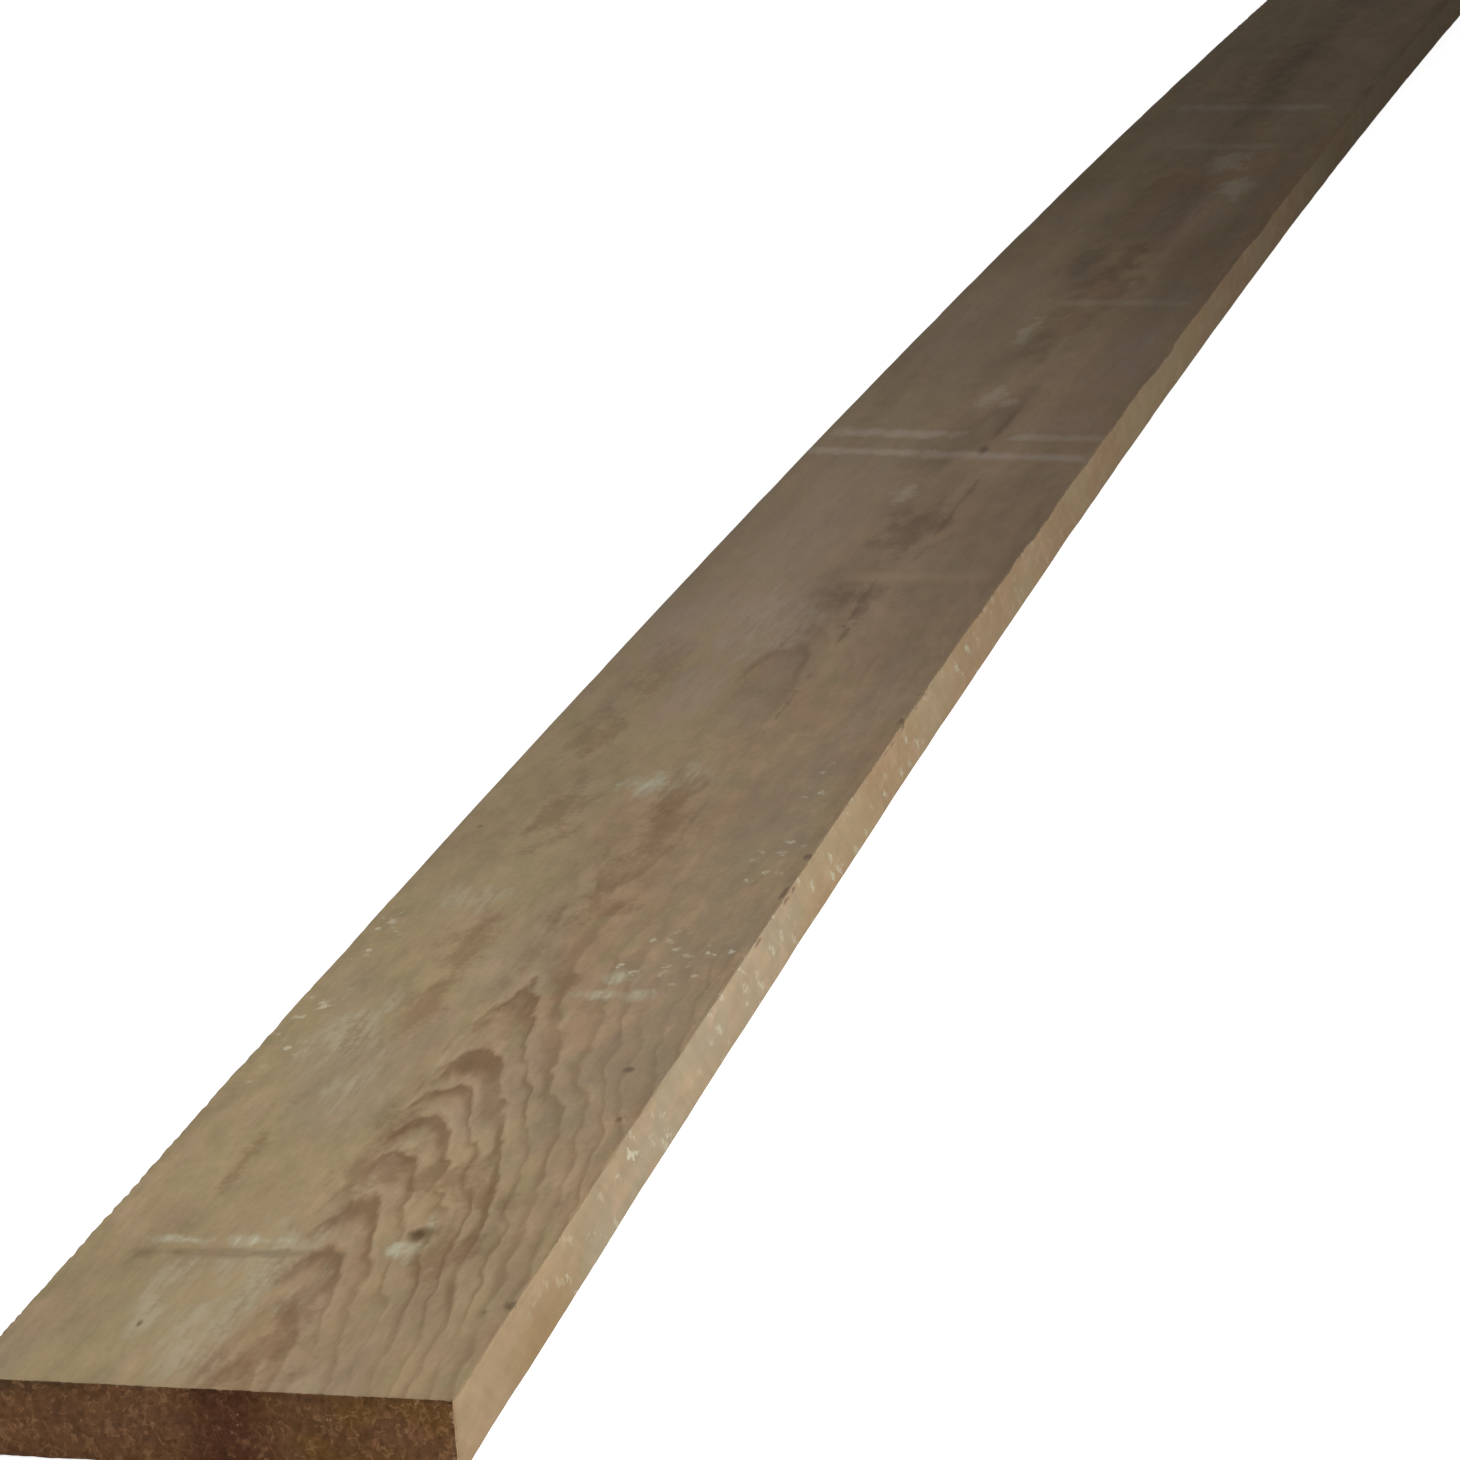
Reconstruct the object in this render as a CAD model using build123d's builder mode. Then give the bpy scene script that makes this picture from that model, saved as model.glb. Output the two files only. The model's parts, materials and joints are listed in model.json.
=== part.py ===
"""Rough-sawn softwood plank: one piece of 225 x 38 mm stock, 4.2 m long.

The plank lies flat on a wide face, with its length along Y and its near sawn end towards -Y.
Seasoning has given it spring: seen from above, its two edges are arcs about one centre on the +X side.
The origin is under the middle of the plank's box, on the surface that it lies on. Millimetres, +Z up.
"""

import os
from math import cos, degrees, radians

from build123d import *

# Driving dimensions
plank_length = 4200.0  # along the centre line, from one sawn end to the other
plank_width = 225.0
plank_thickness = 38.0
spring = 30.0  # edgewise bend: how far mid-length stands off the straight line between the ends
arris_radius = 1.2  # the four long edges, eased by stacking and handling

# The bend: an arc as long as the plank, about an upright axis on the side of the concave edge
bend_radius = plank_length**2 / (8 * spring)
bend_angle = degrees(plank_length / bend_radius)
half_bend_angle = bend_angle / 2

# In X the plank reaches from its convex edge at mid-length to its concave edge at the two ends
convex_edge_radius = bend_radius + plank_width / 2
concave_edge_radius = bend_radius - plank_width / 2
bend_centre_x = (convex_edge_radius + concave_edge_radius * cos(radians(half_bend_angle))) / 2
bend_axis = Axis(origin=(bend_centre_x, 0, 0), direction=(0, 0, -1))

# The near end is sawn square to the centre line, half the bend back from mid-length
near_end_centre = Vector(-bend_radius, 0, plank_thickness / 2).rotate(Axis.Z, half_bend_angle)
near_end = Plane(
    origin=near_end_centre + Vector(bend_centre_x, 0, 0),
    x_dir=Vector(1, 0, 0).rotate(Axis.Z, half_bend_angle),
    z_dir=Vector(0, -1, 0).rotate(Axis.Z, half_bend_angle),
)

# The plank: its sawn section, carried round the bend from the near end to the far end
with BuildPart() as plank:
    with BuildSketch(near_end) as sawn_section:
        Rectangle(plank_width, plank_thickness)
        fillet(sawn_section.vertices(), radius=arris_radius)
    revolve(axis=bend_axis, revolution_arc=bend_angle)

plank.part.label = "plank"
os.makedirs("parts", exist_ok=True)
export_step(plank.part, "parts/plank.step")
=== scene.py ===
"""Looks of a rough-sawn softwood plank that lies flat, its length along Y, its near sawn end towards -Y.

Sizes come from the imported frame, in metres, +Z up. The grain, the stains and the wear are placed in the
board's own straightened coordinates: across from the convex edge, along from the near sawn end, and up
from the underside.
"""

import json
from functools import reduce
from math import atan2, cos, pi, radians, sin

import bpy
from mathutils import Matrix, Vector


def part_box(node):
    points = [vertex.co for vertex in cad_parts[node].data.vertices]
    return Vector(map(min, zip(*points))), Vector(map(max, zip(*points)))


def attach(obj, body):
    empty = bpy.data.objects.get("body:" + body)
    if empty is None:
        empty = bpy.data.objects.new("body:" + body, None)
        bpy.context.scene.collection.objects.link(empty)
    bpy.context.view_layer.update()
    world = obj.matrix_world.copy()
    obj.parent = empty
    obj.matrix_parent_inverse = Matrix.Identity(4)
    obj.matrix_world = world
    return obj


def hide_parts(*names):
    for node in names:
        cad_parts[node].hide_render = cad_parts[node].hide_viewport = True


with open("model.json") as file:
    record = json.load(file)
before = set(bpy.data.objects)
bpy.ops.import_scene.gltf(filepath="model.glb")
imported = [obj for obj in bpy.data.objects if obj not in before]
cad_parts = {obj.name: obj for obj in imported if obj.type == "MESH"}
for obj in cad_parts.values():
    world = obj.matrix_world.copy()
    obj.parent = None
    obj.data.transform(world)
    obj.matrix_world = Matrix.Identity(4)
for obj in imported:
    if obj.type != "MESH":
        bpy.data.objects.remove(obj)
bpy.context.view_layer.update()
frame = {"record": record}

MM = 0.001

# The plank's sizes, from the frame
mounts = {mount["name"]: mount for mount in frame["record"]["mounts"]}
near_end_centre = Vector(mounts["near_end"]["pos_m"])
near_end_facing = Vector(mounts["near_end"]["axis"])
far_end_centre = Vector(mounts["far_end"]["pos_m"])
plank_low, plank_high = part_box("plank")
plank_thickness = plank_high.z - plank_low.z
half_bend_angle = atan2(near_end_facing.x, -near_end_facing.y)
bend_radius = -near_end_centre.y / sin(half_bend_angle)
plank_length = 2 * bend_radius * half_bend_angle
plank_width = 2 * (plank_high.x - near_end_centre.x) / cos(half_bend_angle)
mid_length_x = near_end_centre.x - bend_radius * (1 - cos(half_bend_angle))
arris_radius = 1.2 * MM

# The name under which each point of the mesh keeps its place in the straightened board
BOARD = "board"

# One noise bites the arrises of the mesh and wears the colour off them, so both lie in the same places
chip_lumps = (90 * MM, 105 * MM, 60 * MM)
chip_seed = 23

# How far a step from one seed to the next moves a pattern across, along and up, in its own lumps
seed_stride = (7.3, 3.1, 5.7)


def paint(red, green, blue):
    """A colour written in the usual 0 to 255 steps, as the linear colour that a shader takes."""
    shares = [step / 255 for step in (red, green, blue)]
    linear = [s / 12.92 if s <= 0.04045 else ((s + 0.055) / 1.055) ** 2.4 for s in shares]
    return (*linear, 1.0)


class Value:
    """One output of a node, on which plain arithmetic adds Math nodes."""

    def __init__(self, tree, socket):
        self.tree = tree
        self.socket = socket

    def output(self, name):
        """Another output of the same node."""
        return Value(self.tree, self.socket.node.outputs[name])

    def math(self, operation, *values):
        return self.tree.node("ShaderNodeMath", {"operation": operation}, dict(enumerate(values)))

    def __add__(self, other):
        return self.math("ADD", self, other)

    def __radd__(self, other):
        return self.math("ADD", other, self)

    def __sub__(self, other):
        return self.math("SUBTRACT", self, other)

    def __rsub__(self, other):
        return self.math("SUBTRACT", other, self)

    def __mul__(self, other):
        return self.math("MULTIPLY", self, other)

    def __rmul__(self, other):
        return self.math("MULTIPLY", other, self)

    def __truediv__(self, other):
        return self.math("DIVIDE", self, other)

    def __rtruediv__(self, other):
        return self.math("DIVIDE", other, self)

    def __abs__(self):
        return self.math("ABSOLUTE", self)

    def root(self):
        return self.math("SQRT", self)

    def floor(self):
        return self.math("FLOOR", self)

    def wave(self):
        return self.math("SINE", self)

    def cosine(self):
        return self.math("COSINE", self)

    def least(self, other):
        return self.math("MINIMUM", self, other)

    def most(self, other):
        return self.math("MAXIMUM", self, other)

    def step(self, low, high, before, after):
        settings = {"interpolation_type": "SMOOTHSTEP"}
        sockets = {0: self, 1: low, 2: high, 3: before, 4: after}
        return self.tree.node("ShaderNodeMapRange", settings, sockets)

    def rise(self, low, high):
        """0 below low, 1 above high, and a smooth step between them."""
        return self.step(low, high, 0.0, 1.0)

    def fall(self, low, high):
        """1 below low, 0 above high, and a smooth step between them."""
        return self.step(low, high, 1.0, 0.0)


class Tree:
    """A node tree, for a material or for a shape, and the one way of adding a node to it."""

    def __init__(self, tree):
        self.tree = tree
        self.tree.nodes.clear()
        self.sizes = {}

    def node(self, kind, settings=None, sockets=None, out=0):
        made = self.tree.nodes.new(kind)
        for name, setting in (settings or {}).items():
            setattr(made, name, setting)
        for key, given in (sockets or {}).items():
            if isinstance(given, Value):
                self.tree.links.new(given.socket, made.inputs[key])
            else:
                made.inputs[key].default_value = given
        return Value(self, made.outputs[out]) if len(made.outputs) else None

    def split(self, vector):
        parts = self.node("ShaderNodeSeparateXYZ", None, {0: vector})
        return [parts.output(axis) for axis in "XYZ"]

    def join(self, x, y, z):
        return self.node("ShaderNodeCombineXYZ", None, {0: x, 1: y, 2: z})

    def vector(self, operation, *vectors, out=0):
        return self.node("ShaderNodeVectorMath", {"operation": operation}, dict(enumerate(vectors)), out)

    def mix(self, share, first, second, blend="MIX"):
        settings = {"data_type": "RGBA", "blend_type": blend}
        return self.node("ShaderNodeMix", settings, {0: share, 6: first, 7: second}, out=2)

    def shade(self, colour, brightness):
        """The colour made darker or lighter by a value about 1."""
        return self.mix(1.0, colour, brightness, "MULTIPLY")

    def stretched(self, board, across, along, up, seed):
        """Coordinates in which a pattern has the given sizes, moved to a place of the seed's own."""
        scale = (1 / across, 1 / along, 1 / up)
        return self.vector("MULTIPLY_ADD", board, scale, [stride * seed for stride in seed_stride])

    def noise(self, board, across, along, up, seed, detail=2.0):
        """A noise whose lumps have the given sizes, about 0.5."""
        place = self.stretched(board, across, along, up, seed)
        return self.node("ShaderNodeTexNoise", None, {"Vector": place, "Scale": 1.0, "Detail": detail})

    def noises(self, board, across, along, up, seed, detail=2.0):
        """Three noises of one size that have nothing to do with each other."""
        lumps = self.noise(board, across, along, up, seed, detail)
        parts = self.split(lumps.output("Color"))
        return [lumps, parts[1], parts[2]]

    def cells(self, place):
        """How far a point is from the middle of its cell, and three chances that each cell draws."""
        middles = self.node("ShaderNodeTexVoronoi", None, {"Vector": place, "Scale": 1.0})
        return middles, self.split(middles.output("Color"))

    def curve(self, along_share, points):
        """A smooth curve through given points, each from 0 to 1 both ways."""
        value = self.node("ShaderNodeFloatCurve", None, {"Value": along_share})
        mapping = value.socket.node.mapping
        line = mapping.curves[0]
        line.points[0].location = points[0]
        line.points[1].location = points[-1]
        for point in points[1:-1]:
            line.points.new(*point)
        mapping.update()
        return value

    def given(self, name, kind, size):
        """A named input of a shape's tree, and the size that the piece is made with."""
        socket = self.tree.interface.new_socket(name, in_out="INPUT", socket_type=kind)
        self.sizes[socket.identifier] = size
        return self.node("NodeGroupInput").output(name)

    def result(self, geometry):
        self.tree.interface.new_socket("Geometry", in_out="OUTPUT", socket_type="NodeSocketGeometry")
        self.node("NodeGroupOutput", None, {"Geometry": geometry})


def shaped(name, tree):
    """The plain mesh that a shape's tree makes, as a piece at the origin."""
    piece = bpy.data.objects.new(name, bpy.data.meshes.new(name))
    bpy.context.scene.collection.objects.link(piece)
    rule = piece.modifiers.new(name, "NODES")
    rule.node_group = tree.tree
    for identifier, size in tree.sizes.items():
        rule[identifier] = size
    evaluated = piece.evaluated_get(bpy.context.evaluated_depsgraph_get())
    mesh = bpy.data.meshes.new_from_object(evaluated)
    piece.modifiers.remove(rule)
    piece.data = mesh
    return piece


# Growth rings: they run about the heart of the tree, which wanders along under the board
ring_width = 3.6 * MM
rings_spread_from = 24 * MM
heart_across = 119 * MM
heart_sway = 12 * MM
heart_deepest = 120 * MM
heart_line = (  # along the board, and how deep the heart lies under its top face
    (0.00, 41 * MM),
    (0.25, 56 * MM),
    (0.50, 72 * MM),
    (0.56, 73 * MM),
    (0.72, 69 * MM),
    (0.90, 65.0 * MM),
    (0.935, 61.2 * MM),
    (0.985, 57.4 * MM),
    (1.04, 58.0 * MM),
    (1.10, 58.4 * MM),
    (1.14, 61.4 * MM),
    (1.22, 66 * MM),
    (1.45, 76 * MM),
    (1.70, 71 * MM),
    (2.05, 80 * MM),
    (2.50, 69 * MM),
    (3.00, 78 * MM),
    (3.60, 68 * MM),
    (4.20, 76 * MM),
)


def growth_rings(tree, board):
    """Latewood, pale early lines, both from 0 to 1, and how far each point lies aside of the heart."""
    across, along, up = tree.split(board)
    sway = tree.noise(board, 900 * MM, 620 * MM, 900 * MM, seed=1, detail=0) - 0.5
    points = [(place / plank_length, depth / heart_deepest) for place, depth in heart_line]
    heart_depth = tree.curve(along / plank_length, points) * heart_deepest
    aside = across - heart_across - sway * heart_sway
    above = heart_depth - (plank_thickness - up)
    off = abs(aside)
    spread = off.least(rings_spread_from) + (off - rings_spread_from).most(0) * 0.5
    radius = (spread * spread + above * above).root()
    feather = tree.noise(board, 5 * MM, 18 * MM, 5 * MM, seed=2) - 0.5
    waver = tree.noise(board, 20 * MM, 60 * MM, 20 * MM, seed=3) - 0.5
    left = (aside + (waver + feather) * (32 * MM)).fall(-22 * MM, -4 * MM)
    arm = off.rise(8 * MM, 30 * MM)
    years = radius / ring_width + feather * (0.35 + 1.2 * left) + waver * (0.9 + 0.9 * arm)
    year = years.floor()
    through = years - year
    chance = tree.node("ShaderNodeTexWhiteNoise", {"noise_dimensions": "1D"}, {"W": year})
    start = 0.10 + 0.32 * chance + 0.16 * arm
    latewood = through.rise(start, start + 0.48) * through.fall(0.84, 0.98)
    early_line = through.fall(0.04, 0.30)

    # How clearly the rings show: less in some years, on the arms, left of the heart and where they are worn
    hardness = 1 - (1 - chance) * 0.6 * year.rise(19, 21)
    broken = tree.noise(board, 22 * MM, 90 * MM, 22 * MM, seed=13, detail=1).rise(0.36, 0.60)
    kept = 1 - arm * (0.06 + 0.42 * (1 - broken) + 0.40 * along.rise(430 * MM, 640 * MM))
    worn_away = 0.38 * along.rise(490 * MM, 580 * MM) + 0.14 * along.rise(800 * MM, 950 * MM)
    worn_away = worn_away + 0.30 * along.rise(1150 * MM, 1500 * MM)
    worn_away = worn_away + 0.34 * along.rise(850 * MM, 900 * MM) * along.fall(960 * MM, 1010 * MM)
    rubbed_end = 0.5 * along.fall(60 * MM, 135 * MM)
    shows = hardness * kept.most(0) * (1 - 0.9 * left) * (1 - worn_away) * (1 - rubbed_end)
    return latewood * shows, early_line * shows, aside


def far_out(tree, board, across, along, half_across, half_along):
    """How far a point lies from the middle of an oval mark on a wide face, 1 at the oval's rim."""
    scale = (1 / half_across, 1 / half_along, 0)
    centre = (-across / half_across, -along / half_along, 0)
    return tree.vector("LENGTH", tree.vector("MULTIPLY_ADD", board, scale, centre), out=1)


def stripe(tree, board, ragged, ragged_ends, along, half_width, slant, first, last, strength):
    """A band from one place across a wide face to another, where something lay in the stack."""
    half_length = (last - first) / 2
    square_to_it = (-slant / half_width, 1 / half_width, 0)
    beside = abs(tree.vector("DOT_PRODUCT", board, square_to_it, out=1) - along / half_width)
    along_it = (1 / half_length, 0, 0)
    beyond = abs(tree.vector("DOT_PRODUCT", board, along_it, out=1) - (first + last) / 2 / half_length)
    return (beside + ragged).fall(0.1, 1.25) * (beyond + ragged_ends).fall(0.7, 1.05) * strength


# Marks on the top face, each given by its place across and along the board, and half its size both ways
salt_marks = (
    (155 * MM, 154 * MM, 7 * MM, 9 * MM),
    (161 * MM, 150 * MM, 3 * MM, 15 * MM),
    (158 * MM, 190 * MM, 4 * MM, 14 * MM),
    (163 * MM, 489 * MM, 13 * MM, 8 * MM),
    (182 * MM, 486 * MM, 11 * MM, 9 * MM),
    (162 * MM, 511 * MM, 11 * MM, 10 * MM),
    (50 * MM, 154 * MM, 18 * MM, 6 * MM),
    (82 * MM, 156 * MM, 14 * MM, 6 * MM),
    (98 * MM, 838 * MM, 16 * MM, 27 * MM),
)
far_salts = (
    (112 * MM, 1852 * MM, 12 * MM, 44 * MM),
    (122 * MM, 1830 * MM, 14 * MM, 16 * MM),
    (106 * MM, 1540 * MM, 9 * MM, 26 * MM),
    (138 * MM, 2866 * MM, 24 * MM, 60 * MM),
    (170 * MM, 2730 * MM, 20 * MM, 50 * MM),
    (92 * MM, 2080 * MM, 8 * MM, 60 * MM),
)
pink_hazes = (
    (62 * MM, 1440 * MM, 46 * MM, 190 * MM),
    (78 * MM, 1200 * MM, 40 * MM, 130 * MM),
    (30 * MM, 1180 * MM, 30 * MM, 120 * MM),
    (76 * MM, 1030 * MM, 24 * MM, 90 * MM),
    (196 * MM, 2000 * MM, 30 * MM, 190 * MM),
    (190 * MM, 1760 * MM, 40 * MM, 60 * MM),
    (44 * MM, 2230 * MM, 52 * MM, 240 * MM),
    (44 * MM, 2600 * MM, 40 * MM, 170 * MM),
    (150 * MM, 2600 * MM, 60 * MM, 150 * MM),
    (60 * MM, 3050 * MM, 40 * MM, 200 * MM),
)
salt_crops = (
    (192 * MM, 545 * MM, 44 * MM, 46 * MM),
    (200 * MM, 700 * MM, 22 * MM, 44 * MM),
    (12 * MM, 440 * MM, 16 * MM, 90 * MM),
    (14 * MM, 580 * MM, 13 * MM, 80 * MM),
    (203 * MM, 850 * MM, 9 * MM, 45 * MM),
)
pale_hazes = (
    (98 * MM, 125 * MM, 24 * MM, 70 * MM),
    (90 * MM, 50 * MM, 21 * MM, 50 * MM),
    (60 * MM, 90 * MM, 14 * MM, 56 * MM),
    (66 * MM, 360 * MM, 11 * MM, 56 * MM),
    (104 * MM, 395 * MM, 7 * MM, 28 * MM),
    (40 * MM, 420 * MM, 26 * MM, 56 * MM),
    (46 * MM, 632 * MM, 30 * MM, 26 * MM),
    (118 * MM, 858 * MM, 18 * MM, 46 * MM),
    (92 * MM, 1200 * MM, 34 * MM, 90 * MM),
)
grey_hazes = (
    (206 * MM, 400 * MM, 28 * MM, 170 * MM),
    (195 * MM, 520 * MM, 38 * MM, 130 * MM),
    (185 * MM, 760 * MM, 40 * MM, 230 * MM),
)
brown_stains = (
    (124 * MM, 34 * MM, 17 * MM, 50 * MM),
    (127 * MM, 80 * MM, 9 * MM, 36 * MM),
    (70 * MM, 462 * MM, 12 * MM, 50 * MM),
    (45 * MM, 252 * MM, 4.5 * MM, 64 * MM),
    (68 * MM, 556 * MM, 13 * MM, 50 * MM),
    (152 * MM, 240 * MM, 17 * MM, 26 * MM),
    (176 * MM, 150 * MM, 15 * MM, 26 * MM),
    (174 * MM, 218 * MM, 15 * MM, 18 * MM),
    (124 * MM, 620 * MM, 20 * MM, 26 * MM),
    (112 * MM, 255 * MM, 16 * MM, 60 * MM),
    (121 * MM, 752 * MM, 15 * MM, 62 * MM),
    (40 * MM, 1090 * MM, 16 * MM, 90 * MM),
    (38 * MM, 940 * MM, 16 * MM, 60 * MM),
    (56 * MM, 780 * MM, 16 * MM, 60 * MM),
    (96 * MM, 3450 * MM, 32 * MM, 260 * MM),
    (140 * MM, 2560 * MM, 17 * MM, 150 * MM),
    (120 * MM, 2120 * MM, 24 * MM, 110 * MM),
    (128 * MM, 2260 * MM, 30 * MM, 110 * MM),
    (110 * MM, 2720 * MM, 34 * MM, 180 * MM),
)
dirt_patches = (
    (126 * MM, 1262 * MM, 34 * MM, 26 * MM),
    (142 * MM, 1215 * MM, 7 * MM, 50 * MM),
    (130 * MM, 1436 * MM, 28 * MM, 62 * MM),
    (88 * MM, 2376 * MM, 16 * MM, 80 * MM),
    (124 * MM, 2390 * MM, 14 * MM, 90 * MM),
)
dark_specks = (
    (204 * MM, 383 * MM, 3 * MM, 3.5 * MM),
    (14 * MM, 756 * MM, 3 * MM, 5 * MM),
    (60 * MM, 62 * MM, 1.2 * MM, 3.5 * MM),
    (138 * MM, 1674 * MM, 4 * MM, 11 * MM),
    (222 * MM, 98 * MM, 3 * MM, 5 * MM),
    (222 * MM, 715 * MM, 3 * MM, 6 * MM),
    (216 * MM, 318 * MM, 4 * MM, 8 * MM),
    (212 * MM, 90 * MM, 3 * MM, 7 * MM),
)
drying_checks = (
    (153 * MM, 1480 * MM, 2.6 * MM, 150 * MM),
    (139 * MM, 1745 * MM, 3.2 * MM, 90 * MM),
    (142 * MM, 1000 * MM, 2.6 * MM, 70 * MM),
    (137 * MM, 1265 * MM, 2.2 * MM, 34 * MM),
    (139 * MM, 1215 * MM, 2.2 * MM, 38 * MM),
    (144 * MM, 1155 * MM, 2.2 * MM, 38 * MM),
)
pin_knot = (157.5 * MM, 171 * MM, 5.0 * MM, 10.5 * MM)
grain_arch = (116 * MM, 1040 * MM, 19 * MM, 98 * MM)

# Stacking marks: place along at the convex edge, half width, slant, where across they run, and strength
pale_bands = (
    (1731 * MM, 15 * MM, -0.095, 6 * MM, 112 * MM, 0.75),
    (1729 * MM, 12 * MM, -0.095, 150 * MM, 228 * MM, 0.55),
    (1671 * MM, 13 * MM, -0.100, 0 * MM, 100 * MM, 0.70),
    (1669 * MM, 14 * MM, -0.100, 90 * MM, 228 * MM, 0.65),
    (2204 * MM, 16 * MM, -0.01, 84 * MM, 224 * MM, 0.35),
    (2960 * MM, 20 * MM, -0.03, 60 * MM, 190 * MM, 0.35),
    (3192 * MM, 24 * MM, -0.06, 16 * MM, 200 * MM, 0.65),
)
tan_bands = (
    (1306 * MM, 17 * MM, 0.03, 104 * MM, 222 * MM, 0.50),
)
dark_bands = (
    (138 * MM, 6 * MM, 0.05, 22 * MM, 130 * MM, 0.48),
)

# What share of its colour's brightness is left along the board: partly weathering, partly painted shade of
# the light falling off towards the far end
weather_and_falloff = (
    (0.0, 1.0),
    (0.45, 0.99),
    (0.75, 0.88),
    (1.2, 0.82),
    (1.85, 0.73),
    (2.2, 0.66),
    (2.6, 0.55),
    (3.0, 0.47),
    (3.4, 0.415),
    (4.2, 0.40),
)

# How far along the saw's marks lean, for each step up an edge
saw_lean = 1.2

# Colours of the faces
olive_wood = paint(152, 134, 102)
rosy_wood = paint(154, 129, 101)
light_blotch = paint(161, 137, 110)
olive_blotch = paint(143, 129, 96)
grey_blotch = paint(147, 131, 110)
pale_earlywood = paint(166, 145, 115)
flame_latewood = paint(106, 80, 55)
arm_latewood = paint(112, 90, 62)

# Colours of the edges
straw_edge = paint(162, 142, 111)
tan_edge = paint(160, 134, 103)
green_edge = paint(157, 144, 120)
rusty_edge = paint(142, 112, 74)
light_edge = paint(174, 147, 120)

# Colours of the marks and of the weather
brown_stain = paint(110, 79, 54)
dark_dirt = paint(98, 76, 58)
pale_haze = paint(170, 159, 134)
grey_haze = paint(131, 118, 101)
pink_haze = paint(170, 148, 133)
pale_band = paint(184, 171, 152)
tan_band = paint(172, 148, 114)
dark_band = paint(98, 80, 56)
green_salt = paint(184, 183, 159)
dry_salt = paint(194, 183, 162)
fleck_salt = paint(194, 187, 162)
check_brown = paint(74, 55, 40)
speck_brown = paint(72, 57, 44)
notch_brown = paint(84, 66, 50)
knot_brown = paint(84, 66, 46)
near_grime = paint(133, 115, 102)
far_grime = paint(124, 102, 82)

# Colours of the ends
brown_end = paint(131, 93, 63)
olive_end = paint(128, 92, 54)
red_end = paint(118, 83, 64)
heart_end = paint(96, 60, 43)
tuft_highlight = paint(176, 130, 90)
dark_top_olive = paint(90, 74, 54)
pale_strand = paint(190, 146, 102)
pale_speck = paint(210, 176, 142)
rubbed_rim_highlight = paint(190, 154, 118)


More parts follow.
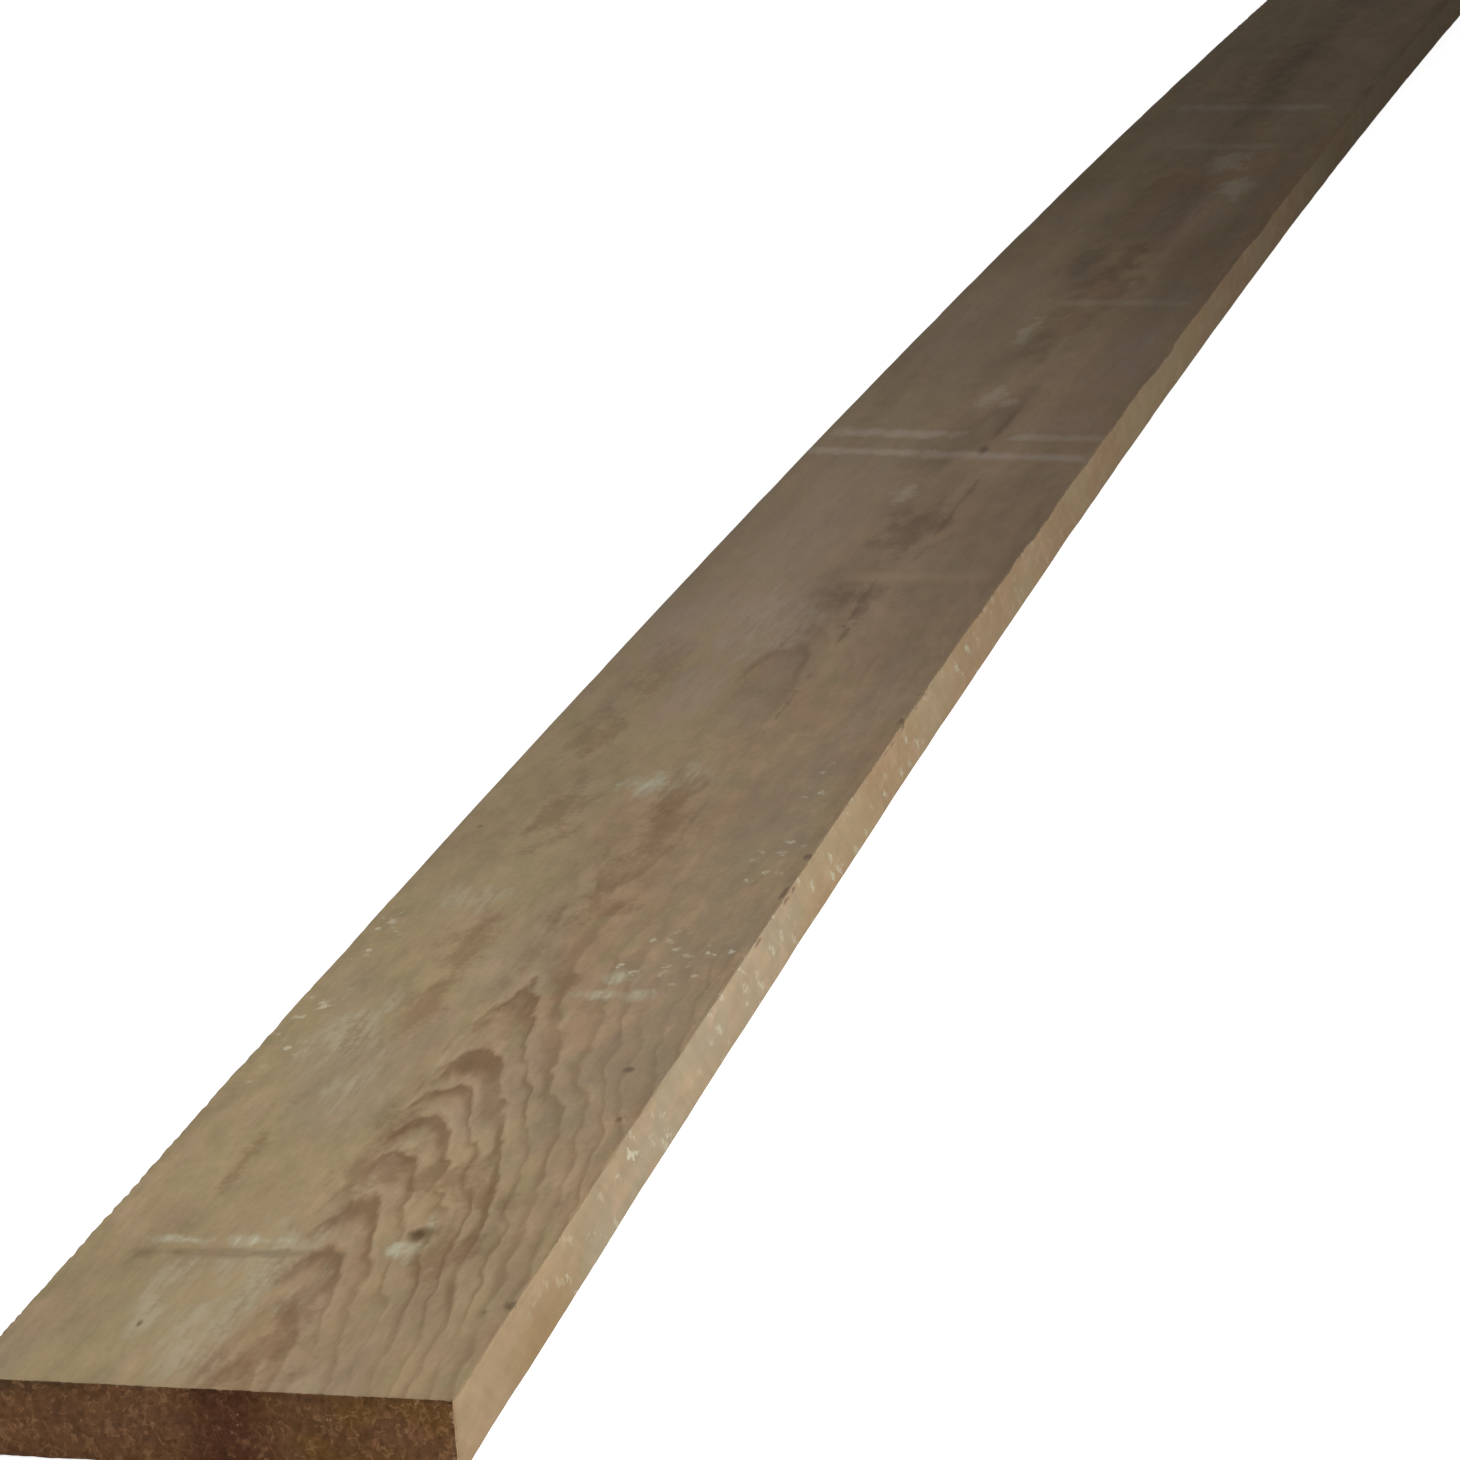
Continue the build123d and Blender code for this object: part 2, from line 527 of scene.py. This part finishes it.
class Surface:
    """What the finishes share: a point's place on the board, its face, its grain, and noises about 0."""

    def __init__(self, tree):
        self.tree = tree
        self.board = tree.node("ShaderNodeAttribute", {"attribute_name": BOARD}, out="Vector")
        self.across, self.along, self.up = tree.split(self.board)
        self.leaning = tree.join(self.across, self.along + self.up * saw_lean, self.up)
        self.make_noises()
        self.find_faces()
        self.latewood, self.early_line, self.aside = growth_rings(tree, self.board)
        # Brightness left along the board: partly weathering, partly painted shade of the light falling off
        # towards the far end
        points = [(place / plank_length, share) for place, share in weather_and_falloff]
        self.weather_and_falloff_shade = tree.curve(self.along / plank_length, points)

    def make_noises(self):
        """From slow changes of colour to single fibres, the ragged rim of a mark, and the flecks' cells."""
        tree, board = self.tree, self.board
        self.slow = [part - 0.5 for part in tree.noises(board, 48 * MM, 170 * MM, 48 * MM, seed=4, detail=1)]
        self.blotch = [part - 0.5 for part in tree.noises(board, 13 * MM, 36 * MM, 13 * MM, seed=9)]
        self.streak = tree.noise(board, 3.2 * MM, 30 * MM, 3.2 * MM, seed=5) - 0.5
        self.long_streak = tree.noise(board, 28 * MM, 330 * MM, 28 * MM, seed=16) - 0.5
        self.fibre = tree.noise(board, 0.9 * MM, 9 * MM, 0.9 * MM, seed=6, detail=1) - 0.5
        self.crumb = tree.noise(board, 3 * MM, 4.5 * MM, 3 * MM, seed=14) - 0.5
        self.rim = self.blotch[0] + self.crumb * 0.45
        fleck_place = tree.stretched(self.leaning, 9 * MM, 13 * MM, 14 * MM, seed=10)
        self.fleck_gap, self.fleck_chances = tree.cells(fleck_place)

    def find_faces(self):
        """Which face a point is on; the dark face runs over the worn arris of the concave side."""
        half_length = plank_length / 2
        half_width = plank_width / 2
        chip = self.tree.noise(self.board, *chip_lumps, seed=chip_seed)
        self.below_top = plank_thickness - self.up
        self.from_centre = abs(self.across - half_width)
        self.on_top = self.up.rise(plank_thickness - 5 * MM, plank_thickness - 1 * MM)

        # Ends: 1 where they keep their fur, less over a broken-out top arris and at the rubbed corners, which
        # carry a painted highlight
        from_middle = abs(self.along - half_length)
        self.end_face = from_middle.rise(half_length - 0.7 * MM, half_length - 0.2 * MM)
        breakout = (chip.rise(0.45, 0.75) * 1.6 + self.crumb.rise(0.0, 0.25) * 1.4) * MM
        unbroken = (self.below_top - breakout).rise(-0.6 * MM, 0.6 * MM)
        from_corner = half_width - self.from_centre - (2.2 + self.crumb * 6.0) * MM
        self.furry = from_corner.rise(-1.2 * MM, 1.2 * MM)
        self.on_end = self.end_face * unbroken * (0.15 + 0.85 * self.furry)

        # Edges: down from the worn arris
        self.concave_side = self.across.rise(half_width, half_width + 1 * MM)
        far_along = self.along.rise(0.6, 2.4)
        worn = chip.rise(0.42, 0.66) * (2.0 + 1.6 * far_along) + 2.6 * far_along
        worn = worn + self.blotch[0] * (5 - 2.6 * far_along) + self.crumb * 3
        worn = worn * self.concave_side * MM
        on_edge = self.from_centre.rise(half_width - 1.0 * MM, half_width - 0.4 * MM)
        self.on_edge = on_edge * (self.below_top - worn).rise(-0.8 * MM, 0.8 * MM)

    def marks(self, places, roughness):
        """Oval marks on the top face, with ragged rims."""
        nearest = reduce(Value.least, [far_out(self.tree, self.board, *place) for place in places])
        return (nearest + self.rim * roughness).fall(0.2, 1.2) * self.on_top

    def bands(self, places, roughness):
        """Bands on the top face, with ragged rims and ends."""
        ragged = self.rim * roughness
        ragged_ends = ragged * 0.4
        stripes = [stripe(self.tree, self.board, ragged, ragged_ends, *place) for place in places]
        return reduce(Value.most, stripes) * self.on_top


def faces(at):
    """Pale earlywood in olive, pink and grey blotches, brown latewood and fine streaks along the grain."""
    tree, slow, blotch = at.tree, at.slow, at.blotch
    warmth = at.across.rise(50 * MM, 150 * MM) * 0.8 + slow[0] * 1.8
    face = tree.mix(warmth.most(0).least(1), olive_wood, rosy_wood)
    face = tree.mix(blotch[1].rise(0.0, 0.22) * 0.60, face, light_blotch)
    face = tree.mix(blotch[2].rise(0.0, 0.22) * 0.65, face, olive_blotch)
    face = tree.mix(slow[2].rise(0.02, 0.2) * 0.4, face, grey_blotch)
    face = tree.mix(at.early_line * 0.45, face, pale_earlywood)
    on_arm = abs(at.aside).rise(12 * MM, 36 * MM)
    dark_line = tree.mix(on_arm, flame_latewood, arm_latewood)
    arch = abs(far_out(tree, at.board, *grain_arch) + at.rim * 0.6 - 1).fall(0.02, 0.17)
    arch = arch * at.along.rise(1.02, 1.10) * at.on_top
    face = tree.mix((at.latewood * (0.64 + 0.12 * on_arm)).most(arch * 0.50), face, dark_line)
    tone = at.streak * 0.20 + at.fibre * 0.14 + at.crumb * 0.17 + blotch[0] * 0.40 + slow[1] * 0.34
    return tree.shade(face, 0.935 + 0.05 * on_arm + tone)


def edges(at):
    """Sawn later and handled less, so brighter, with a green cast of salts near the front, and painted light
    that brightens them over the first 0.8 m.
    """
    tree, slow, blotch, along = at.tree, at.slow, at.blotch, at.along
    edge = tree.mix(slow[0].rise(-0.15, 0.15), straw_edge, tan_edge)
    cast = along.rise(0.12, 0.26) * along.fall(0.5, 0.8) * 0.5 + slow[2].rise(0.0, 0.2) * 0.3
    edge = tree.mix(cast, edge, green_edge)
    rust = along.rise(0.05, 0.12) * along.fall(0.15, 0.24) * at.up.fall(10 * MM, 32 * MM)
    edge = tree.mix(rust * 0.5, edge, rusty_edge)
    edge = tree.mix(blotch[1].rise(0.0, 0.22) * 0.6, edge, light_edge)
    saw_marks = tree.noise(at.leaning, 60 * MM, 10 * MM, 45 * MM, seed=27) - 0.5
    # Painted light: the edges made brighter from 0.1 m to 0.8 m along
    lit = 0.94 + 0.16 * along.rise(0.1, 0.8)
    return tree.shade(edge, lit + saw_marks * 0.22 + at.fibre * 0.10 + blotch[0] * 0.26)


def stained(at, wood):
    """The wood with the marks of the treatment tank and of stacking."""
    tree = at.tree
    strokes = (at.blotch[2] * 0.7 + at.crumb * 0.45 + at.streak * 0.7).rise(-0.15, 0.19)
    wood = tree.mix(at.marks(brown_stains, 2.6) * 0.36, wood, brown_stain)
    wood = tree.mix(at.marks(dirt_patches, 2.6) * 0.55, wood, dark_dirt)
    wood = tree.mix(at.marks(pale_hazes, 2.8) * (0.15 + 0.85 * strokes) * 0.64, wood, pale_haze)
    wood = tree.mix(at.marks(grey_hazes, 1.6) * 0.42, wood, grey_haze)
    wood = tree.mix(at.marks(pink_hazes, 2.0) * (0.45 + 0.55 * strokes) * 0.48, wood, pink_haze)
    wood = tree.mix(at.bands(pale_bands, 1.8), wood, pale_band)
    wood = tree.mix(at.bands(tan_bands, 1.8), wood, tan_band)
    wood = tree.mix(at.bands(dark_bands, 1.8) * (0.4 + 0.6 * strokes), wood, dark_band)
    wood = tree.mix(at.marks(salt_marks, 3.2) * (0.35 + 0.65 * strokes) * 0.70, wood, green_salt)
    return tree.mix(at.marks(far_salts, 3.2) * 0.50, wood, dry_salt)


def flecked(at, wood):
    """The wood with salt flecks, on the near part of the edges and in a few crops on the top."""
    chances, on_top = at.fleck_chances, at.on_top
    fleck = (at.fleck_gap + at.crumb * 1.3 - chances[1] * 0.16 + 0.05 * on_top).fall(0.03, 0.31)
    edge_crop = at.on_edge * at.along.rise(60 * MM, 260 * MM) * at.along.fall(900 * MM, 2000 * MM)
    crop = at.marks(salt_crops, 2.0).most(edge_crop)
    grown = fleck * (chances[0] + 0.25 * on_top).rise(0.5, 0.8) * crop
    return at.tree.mix(grown * (0.25 + 0.60 * chances[2] - 0.1 * on_top), wood, fleck_salt)


def checked(at, wood):
    """The wood with dark drying checks, specks, notches along the worn arris and the pin knot."""
    tree = at.tree
    half_width = plank_width / 2
    wood = tree.mix(at.marks(drying_checks, 2.4) * 0.42, wood, check_brown)
    wood = tree.mix(at.marks(dark_specks, 2.6) * 0.55, wood, speck_brown)
    at_arris = (at.from_centre - at.below_top).rise(half_width - 5 * MM, half_width - 3 * MM)
    notch = at.blotch[1].rise(0.13, 0.20) * (at_arris * at.concave_side) * at.along.fall(1.0, 1.4)
    wood = tree.mix(notch * 0.55, wood, notch_brown)
    return tree.mix(at.marks([pin_knot], 1.4) * 0.9, wood, knot_brown)


def weathered_and_shaded(at, wood):
    """The wood, damp and grey with dirt on its far part, most of all along the heart and the concave side;
    its darkening towards the far end is partly weather and partly painted shade of the light falling off, and
    near the front the top has painted shade beside the concave arris.
    """
    tree, along, aside = at.tree, at.along, at.aside
    off_edge = 1 - at.on_edge
    far = along.rise(0.8, 1.5)
    grime = tree.mix(along.rise(1.9, 2.8), near_grime, far_grime)
    wood = tree.mix(along.rise(0.5, 1.4) * 0.38 * off_edge, wood, grime)
    heart_dirt = abs(aside).fall(8 * MM, 45 * MM) * at.slow[2].rise(-0.12, 0.1) * far
    side_dirt = aside.rise(20 * MM, 80 * MM) * far * off_edge * along.fall(2.4, 3.2)
    edge_dirt = at.on_edge * along.rise(2.6, 3.1)
    # Darker right of the heart, and painted shade on the top beside the concave arris, both on the near part
    dull_and_arris_shade = aside.rise(10 * MM, 60 * MM) + at.across.rise(206 * MM, 220 * MM)
    dull_and_arris_shade = dull_and_arris_shade * along.fall(1.3, 1.7) * off_edge
    runs = 1 + at.long_streak * 0.5 * far * off_edge
    clean = (1 - 0.18 * heart_dirt) * (1 - 0.24 * side_dirt) * (1 - 0.28 * edge_dirt) * (1 - 0.09 * dull_and_arris_shade)
    # Darker towards the far end, partly with weather and partly as painted shade of the light falling off
    return tree.shade(wood, at.weather_and_falloff_shade * runs * clean)


def end_grain(at):
    """Torn tufts of fibre that drank the preservative, some standing and some lying as pale strands; the
    standing tufts carry painted highlights and shade.
    """
    tree, across, board = at.tree, at.across, at.board
    curl = tree.noises(board, 3.4 * MM, 30 * MM, 3.4 * MM, seed=7, detail=0)
    tuft_place = tree.stretched(board, 2.6 * MM, 60 * MM, 3.8 * MM, seed=8)
    tuft_place = tree.vector("ADD", tuft_place, tree.join(curl[0] * 2.4, 0, curl[1] * 2.4))
    tuft_gap, tuft_chances = tree.cells(tuft_place)
    # Each tuft lighter at its middle and darker at its rim: partly the fibres' own tone, partly painted
    # highlight and shade of its lump
    tuft = tuft_chances[0] * (1.1 - tuft_gap * 0.8) * 0.7 + (curl[2] - 0.3) * 0.8
    clump = tree.noises(board, 30 * MM, 30 * MM, 20 * MM, seed=12, detail=1)
    olive = across.rise(60 * MM, 170 * MM) * clump[0].rise(0.30, 0.55)
    end = tree.mix(olive, brown_end, olive_end)
    end = tree.mix(clump[2].rise(0.48, 0.62) * 0.4, end, red_end)
    by_heart = abs(at.aside).fall(5 * MM, 30 * MM)
    end = tree.mix(by_heart * 0.85, end, heart_end)
    # Pale tufts: partly the fibres' own colour, partly painted highlight
    end = tree.mix(tuft.rise(0.55, 0.90) * clump[1].rise(0.34, 0.58) * 0.32, end, tuft_highlight)
    # Darker, and olive on the left, in a band along the top edge of the end
    dark_top_band = at.below_top.fall(2 * MM, 13 * MM)
    end = tree.mix(dark_top_band * across.fall(15 * MM, 75 * MM) * 0.5, end, dark_top_olive)
    end = tree.shade(end, 0.84 + tuft.rise(0.05, 0.65) * 0.24 + at.crumb * 0.6 - dark_top_band * 0.14)
    strand = abs(curl[1] - 0.5).fall(0.0, 0.09) * tuft_chances[0].rise(0.4, 0.7) * (1 - 0.7 * by_heart)
    end = tree.mix(strand * 0.34, end, pale_strand)
    speck = at.crumb.rise(0.20, 0.28) * at.fleck_chances[2].rise(0.5, 0.7) * across.rise(90 * MM, 150 * MM)
    end = tree.mix(speck * 0.7, end, pale_speck)
    # The far end darker like the far faces: partly weather, partly painted shade of the light falling off
    return tree.shade(end, 0.4 + 0.6 * at.weather_and_falloff_shade)


def sawn_softwood():
    """Treated softwood: ringed faces, bright sawn edges, dark furry ends, salts, stains and bands, with
    painted shade towards the far end and beside the concave arris, and painted light on the edges and the
    ends' tufts and corners.
    """
    material = bpy.data.materials.new("sawn_softwood")
    material.use_nodes = True
    tree = Tree(material.node_tree)
    at = Surface(tree)
    wood = tree.mix(at.on_edge, faces(at), edges(at))
    for finish in (stained, flecked, checked, weathered_and_shaded):
        wood = finish(at, wood)
    # Rubbed corners of the ends: worn wood, lightened as a painted highlight where a rounded corner catches
    # the light
    wood = tree.mix(at.end_face * (1 - at.furry) * 0.8, wood, rubbed_rim_highlight)
    wood = tree.mix(at.on_end, wood, end_grain(at))

    relief = at.streak * 0.12 + at.fibre * 0.08 + at.blotch[0] * 0.45
    height = (relief + at.crumb * 2.4 * at.end_face * at.furry) * MM
    normal = tree.node("ShaderNodeBump", None, {"Strength": 1.0, "Distance": 1.0, "Height": height})
    roughness = 0.88 + at.blotch[1] * 0.2
    sockets = {"Base Color": wood, "Roughness": roughness, "Specular IOR Level": 0.03, "Normal": normal}
    surface = tree.node("ShaderNodeBsdfPrincipled", None, sockets)
    tree.node("ShaderNodeOutputMaterial", None, {"Surface": surface})
    return material


def crowded(unit, crowding):
    """A place from -0.5 to 0.5, moved so that cuts lie closer together towards both ends."""
    return unit + (unit * (2 * pi)).wave() * (crowding / (2 * pi))


def eased(off_x, off_z, width, thickness, arris):
    """A place across and up, where a point past both centres of an arris comes in to the arris radius."""
    core_x = off_x.most(arris - width / 2).least(width / 2 - arris)
    core_z = off_z.most(arris - thickness / 2).least(thickness / 2 - arris)
    past_x = off_x - core_x
    past_z = off_z - core_z
    hair = 1e-6
    past = (past_x * past_x + past_z * past_z).root().most(hair)
    keep = (arris / past).least(1)
    return core_x + past_x * keep, core_z + past_z * keep + thickness / 2


def saw_cut(tree, board, off_x, off_y, off_z, length, width, thickness):
    """How deep raised grain, saw swell, bitten arrises and torn ends are cut into the wood."""
    edge_gap = width / 2 - abs(off_x)
    face_gap = thickness / 2 - abs(off_z)
    end_gap = length / 2 - abs(off_y)
    at_arris = (edge_gap + face_gap).fall(0.5 * MM, 7 * MM)
    at_end = end_gap.fall(0, 1 * MM)
    at_corner = (edge_gap + end_gap).fall(0.3 * MM, 6 * MM)
    upper = off_z.rise(0, thickness / 4)
    handled = off_x.rise(0, width / 4) * upper
    nicked = (0.1 + 0.8 * upper) * end_gap.fall(0.25, 0.75)
    grain = tree.noise(board, 7 * MM, 60 * MM, 7 * MM, seed=21)
    swell = tree.noise(board, 300 * MM, 42 * MM, 300 * MM, seed=22, detail=1)
    bite = tree.noise(board, *chip_lumps, seed=chip_seed).rise(0.45, 0.70)
    nibble = tree.noise(board, 90 * MM, 7 * MM, 30 * MM, seed=24)
    tuft = tree.noise(board, 3.5 * MM, 3.5 * MM, 3.5 * MM, seed=25)
    cut = (grain * 0.22 + swell * 0.30) * MM
    cut = cut + at_arris * (bite * (0.4 + 1.8 * handled) + nibble.rise(0.42, 0.72) * nicked) * MM
    return cut + at_end * tuft * 1.4 * MM + at_corner * (0.4 + tuft) * 1.2 * MM


def sawn_plank(finish):
    """The plank: a closed grid on its six faces, eased at the arrises, sprung, then roughened by the saw."""
    tree = Tree(bpy.data.node_groups.new("sawn_plank", "GeometryNodeTree"))
    length = tree.given("Length", "NodeSocketFloat", plank_length)
    width = tree.given("Width", "NodeSocketFloat", plank_width)
    thickness = tree.given("Thickness", "NodeSocketFloat", plank_thickness)
    radius = tree.given("Bend radius", "NodeSocketFloat", bend_radius)
    arris = tree.given("Arris radius", "NodeSocketFloat", arris_radius)
    middle = tree.given("Mid-length X", "NodeSocketFloat", mid_length_x)
    cuts_across = tree.given("Points across", "NodeSocketInt", 84)
    cuts_along = tree.given("Points along", "NodeSocketInt", 480)
    cuts_up = tree.given("Points up", "NodeSocketInt", 15)
    material = tree.given("Finish", "NodeSocketMaterial", finish)
    crowding_to_edges = 0.7
    crowding_to_ends = 0.75
    crisp_from = radians(50)

    # The straightened board: a unit box whose cuts crowd towards its edges and ends
    sockets = {"Size": (1, 1, 1), "Vertices X": cuts_across, "Vertices Y": cuts_along, "Vertices Z": cuts_up}
    shape = tree.node("GeometryNodeMeshCube", None, sockets)
    unit_x, unit_y, unit_z = tree.split(tree.node("GeometryNodeInputPosition"))
    across = (crowded(unit_x, crowding_to_edges) + 0.5) * width
    along = (crowded(unit_y, crowding_to_ends) + 0.5) * length
    up = (crowded(unit_z, crowding_to_edges) + 0.5) * thickness
    settings = {"data_type": "FLOAT_VECTOR", "domain": "POINT"}
    sockets = {"Geometry": shape, "Name": BOARD, "Value": tree.join(across, along, up)}
    shape = tree.node("GeometryNodeStoreNamedAttribute", settings, sockets)
    board = tree.node("GeometryNodeInputNamedAttribute", {"data_type": "FLOAT_VECTOR"}, {"Name": BOARD})
    kept_across, kept_along, kept_up = tree.split(board)
    off_x = kept_across - width / 2
    off_y = kept_along - length / 2
    off_z = kept_up - thickness / 2

    # Spring: the board's length is carried round its bend
    across_eased, up_eased = eased(off_x, off_z, width, thickness, arris)
    turn = off_y / radius
    half_turn_wave = (turn / 2).wave()
    x = middle + across_eased * turn.cosine() + 2 * radius * half_turn_wave * half_turn_wave
    y = (radius - across_eased) * turn.wave()
    sockets = {"Geometry": shape, "Position": tree.join(x, y, up_eased)}
    shape = tree.node("GeometryNodeSetPosition", None, sockets)

    # Roughness: cut into the wood, so that nothing stands proud of it
    cut = saw_cut(tree, board, off_x, off_y, off_z, length, width, thickness)
    normal = tree.node("GeometryNodeInputNormal")
    inward = tree.node("ShaderNodeVectorMath", {"operation": "SCALE"}, {0: normal, "Scale": 0 - cut})
    shape = tree.node("GeometryNodeSetPosition", None, {"Geometry": shape, "Offset": inward})

    # Crisp only where a sawn end meets the faces
    shape = tree.node("GeometryNodeSetShadeSmooth", {"domain": "FACE"}, {0: shape, "Shade Smooth": True})
    steep = tree.node("GeometryNodeInputMeshEdgeAngle")
    crisp = tree.node("FunctionNodeCompare", {"data_type": "FLOAT"}, {0: steep, 1: crisp_from})
    sockets = {0: shape, "Selection": crisp, "Shade Smooth": False}
    shape = tree.node("GeometryNodeSetShadeSmooth", {"domain": "EDGE"}, sockets)
    shape = tree.node("GeometryNodeRealizeInstances", None, {0: shape})
    shape = tree.node("GeometryNodeSetMaterial", None, {"Geometry": shape, "Material": material})
    tree.result(shape)
    return shaped("sawn_plank", tree)


def seen_directly(tree):
    """1 for what the camera sees, also in a gloss or through glass, and 0 for light on the plank."""
    path = tree.node("ShaderNodeLightPath")
    rays = [path.output(name) for name in ("Is Camera Ray", "Is Glossy Ray", "Is Transmission Ray")]
    return reduce(Value.most, rays)


def pale_floor():
    """A level floor that the camera sees as white, apart from the plank's shadow on it."""
    reach = 80.0
    lighting_grey = (0.75, 0.75, 0.75, 1)
    shadow_grey = (0.5, 0.5, 0.5, 1)
    glow_strength = 0.84
    mesh = bpy.data.meshes.new("floor")
    corners = [(-reach, -reach, 0), (reach, -reach, 0), (reach, reach, 0), (-reach, reach, 0)]
    mesh.from_pydata(corners, [], [(0, 1, 2, 3)])
    floor = bpy.data.objects.new("floor", mesh)
    bpy.context.scene.collection.objects.link(floor)
    material = bpy.data.materials.new("pale_floor")
    material.use_nodes = True
    tree = Tree(material.node_tree)
    plain = tree.node("ShaderNodeBsdfDiffuse", None, {"Color": lighting_grey})
    seen = tree.node("ShaderNodeBsdfDiffuse", None, {"Color": shadow_grey})
    glow = tree.node("ShaderNodeEmission", None, {"Color": (1, 1, 1, 1), "Strength": glow_strength})
    lit = tree.node("ShaderNodeAddShader", None, {0: seen, 1: glow})
    surface = tree.node("ShaderNodeMixShader", None, {0: seen_directly(tree), 1: plain, 2: lit})
    tree.node("ShaderNodeOutputMaterial", None, {"Surface": surface})
    mesh.materials.append(material)


def lamp(name, place, aim, watts, width, height):
    """A flat oval lamp that faces the point that it is aimed at."""
    light = bpy.data.lights.new(name, "AREA")
    light.shape = "ELLIPSE"
    light.size = width
    light.size_y = height
    light.energy = watts
    stand = bpy.data.objects.new(name, light)
    stand.location = place
    stand.rotation_euler = (aim - place).to_track_quat("-Z", "Y").to_euler()
    bpy.context.scene.collection.objects.link(stand)


def studio_light():
    """Soft light from all round, a broad lamp to the right of the near end, a low one behind the far end."""
    soft_strength = 0.36
    white_strength = 1.0
    world = bpy.data.worlds.new("studio")
    bpy.context.scene.world = world
    world.use_nodes = True
    tree = Tree(world.node_tree)
    soft = tree.node("ShaderNodeBackground", None, {"Color": (1, 1, 1, 1), "Strength": soft_strength})
    white = tree.node("ShaderNodeBackground", None, {"Color": (1, 1, 1, 1), "Strength": white_strength})
    surface = tree.node("ShaderNodeMixShader", None, {0: seen_directly(tree), 1: soft, 2: white})
    tree.node("ShaderNodeOutputWorld", None, {"Surface": surface})
    near_place = near_end_centre + Vector((1.3, 0.25, 1.45))
    near_aim = near_end_centre + Vector((0, 0.6, 0))
    lamp("broad_lamp", near_place, near_aim, watts=36, width=1.2, height=1.2)
    far_place = far_end_centre + Vector((-2.2, 1.6, 0.13))
    far_aim = far_end_centre + Vector((0, -0.9, 0))
    lamp("low_lamp", far_place, far_aim, watts=50, width=1.4, height=0.2)


def photo_camera():
    """The photograph's viewpoint, fitted to the plank's outline in a square frame."""
    frame_width_px = 1460
    focal_length_px = 4600
    place = (0.7423, -3.7842, 0.8779)
    pitch = radians(17.052)
    yaw = radians(15.722)
    roll = radians(-3.496)
    camera = bpy.data.cameras.new("camera")
    camera.sensor_width = 36
    camera.lens = camera.sensor_width * focal_length_px / frame_width_px
    view = bpy.data.objects.new("camera", camera)
    turn = Matrix.Rotation(yaw, 4, "Z") @ Matrix.Rotation(pi / 2 - pitch, 4, "X")
    turn = turn @ Matrix.Rotation(roll, 4, "Z")
    view.matrix_world = Matrix.Translation(place) @ turn
    bpy.context.scene.collection.objects.link(view)
    bpy.context.scene.camera = view


plank = sawn_plank(sawn_softwood())
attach(plank, "root")
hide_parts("plank")
pale_floor()
studio_light()
photo_camera()
bpy.context.scene.view_settings.view_transform = "Standard"
